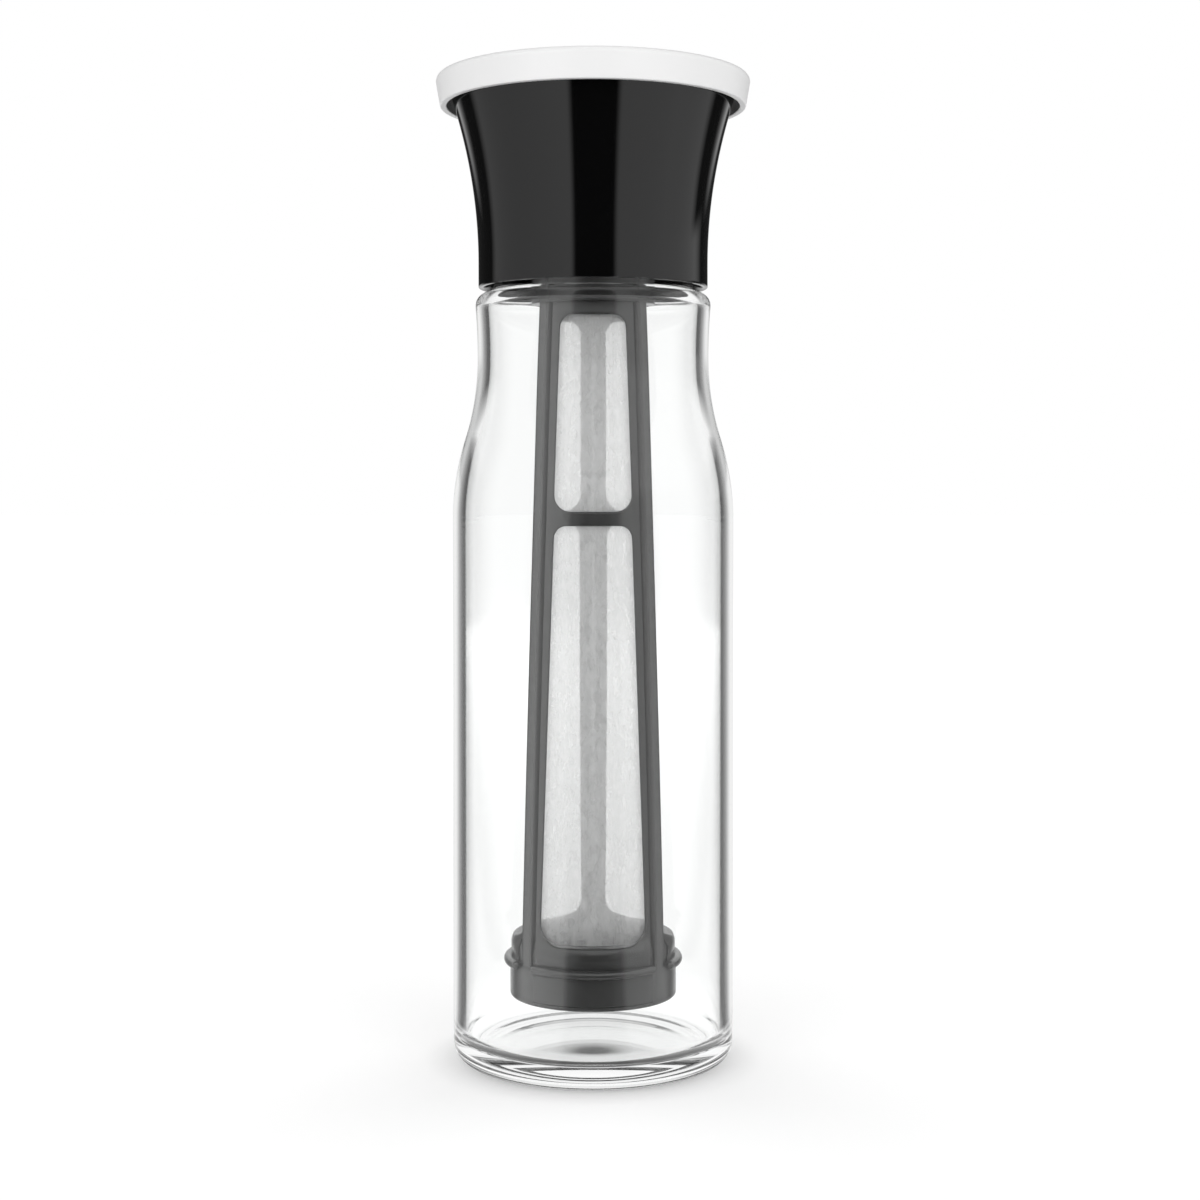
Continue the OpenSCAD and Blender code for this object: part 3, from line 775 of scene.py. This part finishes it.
# %% Sweep the bead in three arcs
BEAD_R, BEAD_THICK, BEAD_TIP = 24.7, 1.3, 0.02
ARC_STEPS, RING_STEPS = 140, 24


def bead_tree():
    inputs = [(label, "Float") for label in ("Reach", "Thickness", "Height", "Stop Angle")]
    inputs += [("Finish", "Material")]
    tree, start, end = new_group("cup_bead", "Geometry", inputs, [("Mesh", "Geometry")])
    thick, stop = start["Thickness"], start["Stop Angle"]
    join = add_node(tree, "GeometryNodeJoinGeometry")
    for first, last in zip(np.radians(CORNERS[:-1]), np.radians(CORNERS[1:]), strict=True):
        bow = {"Radius": minus(tree, start["Reach"], thick), "Resolution": ARC_STEPS}
        bow["Start Angle"] = plus(tree, first, stop)
        bow["Sweep Angle"] = minus(tree, last - first, times(tree, stop, 2.0))
        link(tree, add_node(tree, "GeometryNodeCurveArc", bow).outputs["Curve"], join.inputs[0])
    walk = add_node(tree, "GeometryNodeSplineParameter").outputs["Length"]
    whole = add_node(tree, "GeometryNodeSplineLength").outputs["Length"]
    near = math_node(tree, "MINIMUM", walk, minus(tree, whole, walk))
    share = math_node(tree, "MINIMUM", math_node(tree, "DIVIDE", near, thick), 1.0)
    back = math_node(tree, "POWER", minus(tree, 1.0, share), 2.0)
    size = math_node(tree, "MAXIMUM", math_node(tree, "SQRT", minus(tree, 1.0, back)), BEAD_TIP)
    sized = add_node(tree, "GeometryNodeSetCurveRadius", {0: join.outputs[0], "Radius": size})
    up = add_node(tree, "ShaderNodeCombineXYZ", {"Z": start["Height"]})
    lift = add_node(tree, "GeometryNodeTransform", {0: sized.outputs[0], "Translation": up.outputs[0]})
    ring = add_node(tree, "GeometryNodeCurvePrimitiveCircle", {"Resolution": RING_STEPS, "Radius": thick})
    scale = add_node(tree, "GeometryNodeInputRadius").outputs[0]
    swept = {"Curve": lift.outputs[0], "Profile Curve": ring.outputs[0], "Scale": scale, "Fill Caps": True}
    painted(tree, add_node(tree, "GeometryNodeCurveToMesh", swept).outputs[0], start, end)
    return tree


stop = math.asin((POST_W / 2 + GROOVE_W) / CAGE_FOOT_R)
helper = helper_with(
    "bead", [(0, 0, 0)], [], bead_tree(), Reach=BEAD_R * MM, Thickness=BEAD_THICK * MM, Height=BEAD_Z * MM,
    Stop_Angle=stop, Finish=cage_finish,
)
bead = plain_piece("infuser_bead", helper, "infuser")
print("open edges of the bead:", open_edges(bead.data))

# %% [markdown]
# ## The woven screens
# A fine nylon screen is moulded in behind each face. At arm's length its threads are finer than a
# picture point, so it reads as a milky veil. Here it is a thin closed sheet that follows the
# face, and the threads are in its finish: two sets of threads that cross over and under, with
# open holes between them. The pattern follows the sheet through its own UV map, in millimetres.
# An uneven veil stays in the holes too, as on a damp screen.

# %% Weave the screen's finish
PITCH, THREAD, THREAD_EDGE = 0.2, 0.3, 16.0
VEIL, THREAD_VEIL, DAMP_VEIL = 0.19, 0.46, 0.35
DAMP_SIZE, DAMP_SQUEEZE = 520.0, 0.45


def weave_group():
    inputs = [("Place", "Vector"), ("Pitch", "Float"), ("Thread", "Float")]
    outputs = [("Cover", "Float"), ("Height", "Float")]
    tree, start, end = new_group("plain_weave", "Shader", inputs, outputs)
    split = add_node(tree, "ShaderNodeSeparateXYZ", {0: start["Place"]}).outputs
    cells, masks = [], []
    for axis in ("X", "Y"):
        at = math_node(tree, "DIVIDE", split[axis], start["Pitch"])
        cells.append(math_node(tree, "FLOOR", at))
        away = math_node(tree, "ABSOLUTE", minus(tree, math_node(tree, "FRACT", at), 0.5))
        within = minus(tree, times(tree, start["Thread"], 0.5), away)
        edge = plus(tree, times(tree, within, THREAD_EDGE), 0.5)
        masks.append(math_node(tree, "MINIMUM", math_node(tree, "MAXIMUM", edge, 0.0), 1.0))
    cover = math_node(tree, "MAXIMUM", *masks)
    turn = math_node(tree, "MODULO", math_node(tree, "ABSOLUTE", plus(tree, *cells)), 2.0)
    over = plus(tree, times(tree, masks[0], turn), times(tree, masks[1], minus(tree, 1.0, turn)))
    link(tree, cover, end["Cover"])
    link(tree, plus(tree, cover, over), end["Height"])
    return tree


def screen_material():
    material, tree, shader = bare_material("woven_screen")
    spread = add_node(tree, "ShaderNodeUVMap", uv_map="weave").outputs[0]
    weave = place_group(tree, weave_group(), Place=spread, Pitch=PITCH, Thread=THREAD)
    skin = place_group(tree, SKIN, Colour=grey(0.97), Tone_Drift=0.06, Roughness=0.5, Gloss_Drift=0.1)
    damp = minus(tree, noise(tree, stretched_place(tree, DAMP_SQUEEZE), DAMP_SIZE, 3.0, 0.6), 0.5)
    veil = plus(tree, VEIL, times(tree, weave["Cover"], THREAD_VEIL))
    veil = plus(tree, veil, times(tree, damp, DAMP_VEIL))
    front = minus(tree, 1.0, add_node(tree, "ShaderNodeNewGeometry").outputs["Backfacing"])
    give(tree, shader, {"Base Color": skin["Colour"], "Roughness": skin["Roughness"]})
    give(tree, shader, {"Alpha": times(tree, veil, front), "Subsurface Scale": 1.0})
    soften(material, 0.3, 0.0012)
    bump(tree, weave["Height"], 0.4, 0.00003, shader)
    return material


screen_finish = screen_material()
print("screen finish:", screen_finish.name)

# %% Lay a screen behind each face
SCREEN_LOW, SCREEN_HIGH, SCREEN_EXTRA = 30.9, 206.0, 0.9
SCREEN_FRONT, SCREEN_BACK = 0.08, 0.38
SCREEN_ROWS, SCREEN_COLUMNS = 90, 41


def screen_piece(name, i):
    zs = np.linspace(SCREEN_LOW, SCREEN_HIGH, SCREEN_ROWS)
    widths = [share * (face_edge(i, zs) + SCREEN_EXTRA) for share in np.linspace(-1, 1, SCREEN_COLUMNS)]
    shell = Shell()
    depths = (FACE_WALL + SCREEN_FRONT, FACE_WALL + SCREEN_BACK)
    front, back = (shell.add_rows([on_face(i, x, zs, behind) for x in widths]) for behind in depths)
    last = SCREEN_ROWS - 1
    for k in range(last):
        for s in (0, -1):
            shell.wall(front[s], back[s], k)
    for s in range(SCREEN_COLUMNS - 1):
        for k in (0, last):
            shell.faces.append((front[s] + k, front[s + 1] + k, back[s + 1] + k, back[s] + k))
    mesh = shell.mesh(name, screen_finish)
    spread = [place for x in widths for place in zip(x, zs, strict=True)]
    layer = mesh.uv_layers.new(name="weave")
    for loop in mesh.loops:
        layer.data[loop.index].uv = spread[loop.vertex_index % len(spread)]
    return add_piece(name, mesh, "infuser")


for name, i in (("screen_front", FRONT), ("screen_right", RIGHT), ("screen_left", LEFT)):
    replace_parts(screen_piece(name, i), "mesh_" + name.split("_")[1])

# %% [markdown]
# ## The collar and the cap
# The collar is a trumpet of high-gloss black plastic with a rolled rim. Its curve shows in the
# long reflections, so its outline is drawn finely. The cap is a flat white lid with a small
# rounded edge, whose skirt leans in a little towards the bottom so that it leaves its mould.

# %% Spin the collar and the cap
COLLAR_R, COLLAR_FOOT, COLLAR_WALL, COLLAR_EDGE = 31.5, 212.4, 1.5, 0.3
FLARE_Z, FLARE_ARC, FLARE_BEFORE = 219.0, 141.0, 4
RIM_Z, RIM_ROUND, RIM_T, RIM_W = 266.0, 0.7, 1.6, 3.9
CAP_GAP, CAP_WALL, CAP_LEAN, CAP_SIDE = 1, 1.8, 1.4, 1.9
CAP_FOOT_Z, CAP_TOP_Z, CAP_CEILING = 261.8, 270.0, 267.8


def collar_side(z):
    return COLLAR_R + max(0.0, z - FLARE_Z) ** 2 / (2 * FLARE_ARC)


def collar_outline():
    top, low, inside = RIM_Z - RIM_ROUND, FLARE_Z - FLARE_BEFORE, COLLAR_R - COLLAR_WALL
    outer = arc(COLLAR_R - COLLAR_EDGE, COLLAR_FOOT + COLLAR_EDGE, COLLAR_EDGE, -90, 0, 5)
    outer += [(COLLAR_R, COLLAR_FOOT + 2 * COLLAR_EDGE)]
    outer += [(collar_side(z), z) for z in np.linspace(low, top, 60)]
    outer += arc(collar_side(top) - RIM_ROUND, top, RIM_ROUND, 12, 90, 8)
    outer += arc(collar_side(top) - RIM_W + RIM_T / 2, RIM_Z - RIM_T / 2, RIM_T / 2, 90, 270, 14)
    inner = [(collar_side(z) - COLLAR_WALL, z) for z in np.linspace(RIM_Z - RIM_T, low, 50)]
    inner += [(inside, COLLAR_FOOT + COLLAR_EDGE), (inside + COLLAR_EDGE, COLLAR_FOOT)]
    return outer + inner + [outer[0]]


def cap_outline():
    foot_r = collar_side(RIM_Z - RIM_ROUND) + CAP_GAP + CAP_WALL
    side = foot_r + CAP_LEAN
    corners = [(0, CAP_CEILING), (side - CAP_SIDE, CAP_CEILING, 0.4), (foot_r - CAP_WALL, CAP_FOOT_Z, 0.3)]
    corners += [(foot_r, CAP_FOOT_Z, 0.4), (side, CAP_TOP_Z, 1.5), (0, CAP_TOP_Z)]
    return rounded(corners, step=8)[:-1]


collar = spun("collar_trumpet", collar_outline(), collar_finish, "collar", 256)
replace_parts(collar, "collar_shell")
cap = spun("cap_lid", cap_outline(), cap_finish, "cap", 224)
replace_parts(cap, "cap_cover")

# %% [markdown]
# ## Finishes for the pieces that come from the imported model
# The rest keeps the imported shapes, which are right as they are, and only gets the finishes.

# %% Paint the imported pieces
PACKED = {
    "infuser_base": cage_finish,
    "hanger_ring": cage_finish,
    "collar_core": collar_finish,
    "cap_plug": cap_finish,
    "neck_seal": gasket_finish,
    "rim_gasket": gasket_finish,
    "plug_seal": silicone_finish,
}
for node, finish in PACKED.items():
    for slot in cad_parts[node].material_slots:
        slot.material = finish
print("painted", len(PACKED), "packed pieces")

# %% [markdown]
# ## The studio
# The carafe stands on a pale floor in a white room. Two long soft boxes stand in front, left and
# right of the camera, with a dark gap between them, and the room is dark behind at both sides. The
# room is the world's colour by direction, so it has no noise and lights the object from all sides.
# Gloss sees that room. Close to the horizon it has its own levels, which the floor carries on, and
# rays that come out of the glass see softer boxes and a lower bright ceiling. Matt surfaces see an
# even light, and the open background stays white.

# %% Draw the room as levels by direction
def ramp_of(tree, value, stops):
    node = add_node(tree, "ShaderNodeValToRGB", {0: value})
    marks = node.color_ramp.elements
    while len(marks) < len(stops):
        marks.new(0.5)
    for mark, (at, level) in zip(marks, stops, strict=True):
        mark.position = at
        mark.color = grey(level)
    return node.outputs[0]


def sectors(*stops):
    """Stops in degrees, 0 towards the camera, minus to the left, as shares of a full turn."""
    return [(0.5 + degrees / 360, level) for degrees, level in stops]


def both_sides(back, *front):
    """The stops behind the carafe are mirrored to the left."""
    return sectors(*[(-degrees, level) for degrees, level in back[::-1]], *front, *back)


SOFT_BOXES = (
    (-121, 0.03), (-112, 0.6), (-60, 0.85), (-21.5, 1.0), (-17, 0.008), (20, 0.008), (24.5, 0.95), (75, 1.0)
)
ROOM = both_sides([(166, 0.03), (174, 0.5), (180, 0.6)], *SOFT_BOXES, (122, 0.75), (136, 0.03))
ROOM_IN_GLASS = both_sides(
    [(130, 0.12), (141, 0.1), (147, 0.26), (152, 0.46), (157, 0.74), (165, 0.85), (180, 0.9)],
    (-118, 0.5), (-106, 1.05), (-60, 1.0), (-44, 0.95), (-30, 0.45), (-13, 0.04), (15, 0.04), (32, 0.35),
    (47, 0.5), (70, 0.55), (106, 0.85), (118, 0.45),
)
LOW_ROOM = both_sides(
    [(137, 0.03), (142, 0.25), (147, 0.6), (152, 0.95), (163, 0.88), (180, 0.75)],
    *SOFT_BOXES, (112, 0.75), (121, 0.03),
)
SOFT_LIGHT = sectors((-180, 0.5), (-90, 0.58), (0, 0.46), (90, 0.58), (180, 0.5))
LOW_BAND = [(0.06, 1.0), (0.085, 0.0)]
HIGH_BAND = [(0.75, 0.0), (0.9, 1.0)]
HIGH_BAND_IN_GLASS = [(0.13, 0.0), (0.22, 1.0)]
CEILING_IN_GLASS = [(0.8, 1.0), (0.93, 0.05)]
print("stops of the room:", len(ROOM), "and in the glass:", len(ROOM_IN_GLASS))

# %% [markdown]
# The levels become the world's colour. Rays that have bounced very often inside the clear pieces
# are given one middling grey, so that they don't end as black specks.

# %% Build the room
LOST_GREY, ROOM_BOUNCES = 0.8, 5.5


def turn_from_front(tree, x, y):
    """0.5 straight towards the camera, falling to the left and rising to the right."""
    turn = math_node(tree, "ARCTAN2", x, times(tree, y, -1.0))
    return plus(tree, 0.5, math_node(tree, "DIVIDE", turn, 2 * math.pi))


def mix_colour(tree, share, first, second):
    node = add_node(tree, "ShaderNodeMix", {"Factor": share}, data_type="RGBA")
    number = {socket.name: k for k, socket in enumerate(node.inputs) if socket.type == "RGBA"}
    give(tree, node, {number["A"]: first, number["B"]: second})
    return next(socket for socket in node.outputs if socket.type == "RGBA")


def more_than(tree, value, limit=0.5):
    """1 above the limit. For a depth, 1 after at least one bounce."""
    return math_node(tree, "GREATER_THAN", value, limit)


world = bpy.data.worlds.new("studio_room")
world.use_nodes = True
world.cycles.sampling_method = "NONE"
bpy.context.scene.world = world
tree = world.node_tree
path = add_node(tree, "ShaderNodeLightPath").outputs
direction = add_node(tree, "ShaderNodeTexCoord").outputs["Generated"]
way = add_node(tree, "ShaderNodeSeparateXYZ", {0: direction}).outputs
turn = turn_from_front(tree, way["X"], way["Y"])
inside = more_than(tree, path["Transmission Depth"])
low = ramp_of(tree, way["Z"], LOW_BAND)
room = mix_colour(tree, low, ramp_of(tree, turn, ROOM), ramp_of(tree, turn, LOW_ROOM))
room = mix_colour(tree, inside, room, ramp_of(tree, turn, ROOM_IN_GLASS))
overhead = times(tree, inside, ramp_of(tree, way["Z"], HIGH_BAND_IN_GLASS))
overhead = math_node(tree, "MAXIMUM", ramp_of(tree, way["Z"], HIGH_BAND), overhead)
ceiling = mix_colour(tree, inside, grey(1.0), ramp_of(tree, way["Z"], CEILING_IN_GLASS))
room = mix_colour(tree, overhead, room, ceiling)
room = mix_colour(tree, more_than(tree, path["Glossy Depth"], ROOM_BOUNCES), room, grey(LOST_GREY))
matt = more_than(tree, path["Diffuse Depth"])
room = mix_colour(tree, matt, room, ramp_of(tree, turn, SOFT_LIGHT))
calm = math_node(tree, "LESS_THAN", plus(tree, path["Glossy Depth"], path["Diffuse Depth"]), 0.5)
through = times(tree, path["Is Transmission Ray"], calm)
white = math_node(tree, "MAXIMUM", path["Is Camera Ray"], through)
give(tree, tree.nodes["Background"], {"Color": mix_colour(tree, white, room, grey(1.0))})
print("the room has", len(tree.nodes), "nodes")

# %% [markdown]
# Four large, weak lamps stand round the carafe, a little above it. They give matt surfaces their
# light from every side, and they don't show in gloss, which sees the room instead.

# %% Set the soft lamps
LAMP_POWER, LAMP_SIZE, LAMP_AWAY, LAMP_Z = 9.4, 1.3, 1.5, 0.68
LAMP_AIM = Vector((0, 0, 0.13))
for degrees in (-36, 36, 135, -135):
    lamp_data = bpy.data.lights.new("soft_lamp", "AREA")
    lamp_data.energy = LAMP_POWER
    lamp_data.size = LAMP_SIZE
    lamp = new_object("soft_lamp", lamp_data)
    side = math.radians(degrees)
    lamp.location = (LAMP_AWAY * math.sin(side), -LAMP_AWAY * math.cos(side), LAMP_Z)
    lamp.rotation_euler = (lamp.location - LAMP_AIM).to_track_quat("Z", "Y").to_euler()
    lamp.visible_glossy = False
    lamp.visible_transmission = False
    lamp.visible_camera = False
print("lamps:", len(bpy.data.lights))

# %% [markdown]
# The floor is pale and matt. Seen directly or through glass, a little of its own light lifts it to
# the white of the background. The lift is weaker round the foot, which deepens the contact shadow
# there with painted shade. Through the glass a pool of painted light brightens the floor under it,
# and a small spot of painted shade, with a darker floor colour and no lift, lies under the middle.

# %% Light the floor
FLOOR_SIZE = 12.0
# The last of these is painted light: an extra lift for the floor seen through the glass, close under it.
FLOOR_GREY, FLOOR_LIFT, PAINTED_LIGHT_UNDER = 0.8, 0.27, 0.25
# Painted shade: a darker floor colour, and no lift, in a small spot under the middle of the glass.
PAINTED_SHADE_GREY, PAINTED_SHADE_PLACE = 0.36, (0, -0.009, 0)
# Painted shade: near the foot the floor's lift falls to half, a darker ring round the glass.
CONTACT_PAINTED_SHADE = [(0.037, 0.5), (0.047, 1.0)]
PAINTED_SHADE_FADE = [(0.0035, 0.0), (0.0098, 1.0)]
# Painted light: where the floor under the glass gets its extra lift, fading outwards.
PAINTED_LIGHT_POOL = [(0.04, 1.0), (0.11, 0.0)]
FAR = [(0.03, 0.0), (0.15, 0.335)]


def distance_from(tree, point):
    ends = {0: object_place(tree), 1: point}
    return add_node(tree, "ShaderNodeVectorMath", ends, operation="DISTANCE").outputs["Value"]


def lit_floor(tree, path, away):
    # Painted shade: 0 at the spot under the middle of the glass, 1 away from it.
    middle = ramp_of(tree, distance_from(tree, PAINTED_SHADE_PLACE), PAINTED_SHADE_FADE)
    # Painted shade: the camera sees the floor's lift halved round the foot.
    open_floor_painted_shade = times(tree, path["Is Camera Ray"], ramp_of(tree, away, CONTACT_PAINTED_SHADE))
    below = times(tree, path["Is Transmission Ray"], middle)
    seen = times(tree, math_node(tree, "MAXIMUM", open_floor_painted_shade, below), FLOOR_LIFT)
    # Painted light: extra lift on the floor seen through the glass, close to the axis.
    extra = times(tree, times(tree, ramp_of(tree, away, PAINTED_LIGHT_POOL), below), PAINTED_LIGHT_UNDER)
    far = ramp_of(tree, math_node(tree, "DIVIDE", away, FLOOR_SIZE), FAR)
    # Painted shade: the floor colour darkens to the spot's grey under the middle of the glass.
    colour = mix_colour(tree, middle, grey(PAINTED_SHADE_GREY), grey(FLOOR_GREY))
    matt = add_node(tree, "ShaderNodeBsdfDiffuse", {"Color": colour})
    strength = plus(tree, plus(tree, seen, far), extra)
    lift = add_node(tree, "ShaderNodeEmission", {"Strength": strength})
    return add_node(tree, "ShaderNodeAddShader", {0: matt.outputs[0], 1: lift.outputs[0]}).outputs[0]


print("the floor's own light:", FLOOR_LIFT)

# %% [markdown]
# Gloss sees the floor as part of the room, with the room's levels by direction. Behind the glass,
# the direction is taken from a place nearer to the middle, so that the lines between the levels run
# straight down the glass. Close to the foot the floor shows white instead, with a ring of painted
# shadow round the foot's edge in front, darker by the distance from the axis.

# %% Show the floor in gloss
WALL_SHIFT, FLOOR_BOUNCES = 0.0375, 2.5
NEAR = [(0.05, 1.0), (0.062, 0.0)]
# Painted shadow: a dark ring at the foot's edge, as gloss sees the floor in front.
FOOT_PAINTED_SHADOW = [(0.022, 1.0), (0.028, 0.06), (0.037, 0.12), (0.044, 0.9)]


def glossy_floor(tree, path, away):
    way = add_node(tree, "ShaderNodeSeparateXYZ", {0: object_place(tree)}).outputs
    shift = times(tree, more_than(tree, way["Y"], 0.0), WALL_SHIFT)
    aside = math_node(tree, "MAXIMUM", minus(tree, math_node(tree, "ABSOLUTE", way["X"]), shift), 0.0)
    aside = times(tree, aside, math_node(tree, "SIGN", way["X"]))
    turn = turn_from_front(tree, aside, way["Y"])
    inside = more_than(tree, path["Transmission Depth"])
    shown = mix_colour(tree, inside, ramp_of(tree, turn, LOW_ROOM), ramp_of(tree, turn, ROOM_IN_GLASS))
    before = math_node(tree, "LESS_THAN", way["Y"], 0.0)
    # Painted shadow: white behind, and the dark ring at the foot in front.
    foot = mix_colour(tree, before, grey(1.0), ramp_of(tree, away, FOOT_PAINTED_SHADOW))
    shown = mix_colour(tree, ramp_of(tree, away, NEAR), shown, foot)
    lost = more_than(tree, path["Glossy Depth"], FLOOR_BOUNCES)
    colour = mix_colour(tree, lost, shown, grey(LOST_GREY))
    return add_node(tree, "ShaderNodeEmission", {"Color": colour}).outputs[0]


def floor_piece():
    mesh = bpy.data.meshes.new("floor")
    corners = [(x * FLOOR_SIZE, y * FLOOR_SIZE, 0) for x, y in ((-1, -1), (1, -1), (1, 1), (-1, 1))]
    mesh.from_pydata(corners, [], [(0, 1, 2, 3)])
    material, tree, _ = bare_material("pale_floor")
    tree.nodes.clear()
    path = add_node(tree, "ShaderNodeLightPath").outputs
    away = distance_from(tree, (0, 0, 0))
    choice = {0: more_than(tree, path["Glossy Depth"])}
    choice[1], choice[2] = lit_floor(tree, path, away), glossy_floor(tree, path, away)
    pick = add_node(tree, "ShaderNodeMixShader", choice)
    add_node(tree, "ShaderNodeOutputMaterial", {"Surface": pick.outputs[0]})
    mesh.materials.append(material)
    return new_object("floor", mesh)


floor_piece()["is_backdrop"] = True
print("floor:", 2 * FLOOR_SIZE, "m wide")

# %% Write the sizes and finish
scene = bpy.context.scene
scene.view_settings.view_transform = "Standard"
scene.cycles.max_bounces = 48
scene.cycles.glossy_bounces = 32
scene.cycles.transmission_bounces = 32
scene.cycles.transparent_max_bounces = 16
low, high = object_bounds()
print("dressed size:", [round(v * 1000, 2) for v in high - low], "mm")
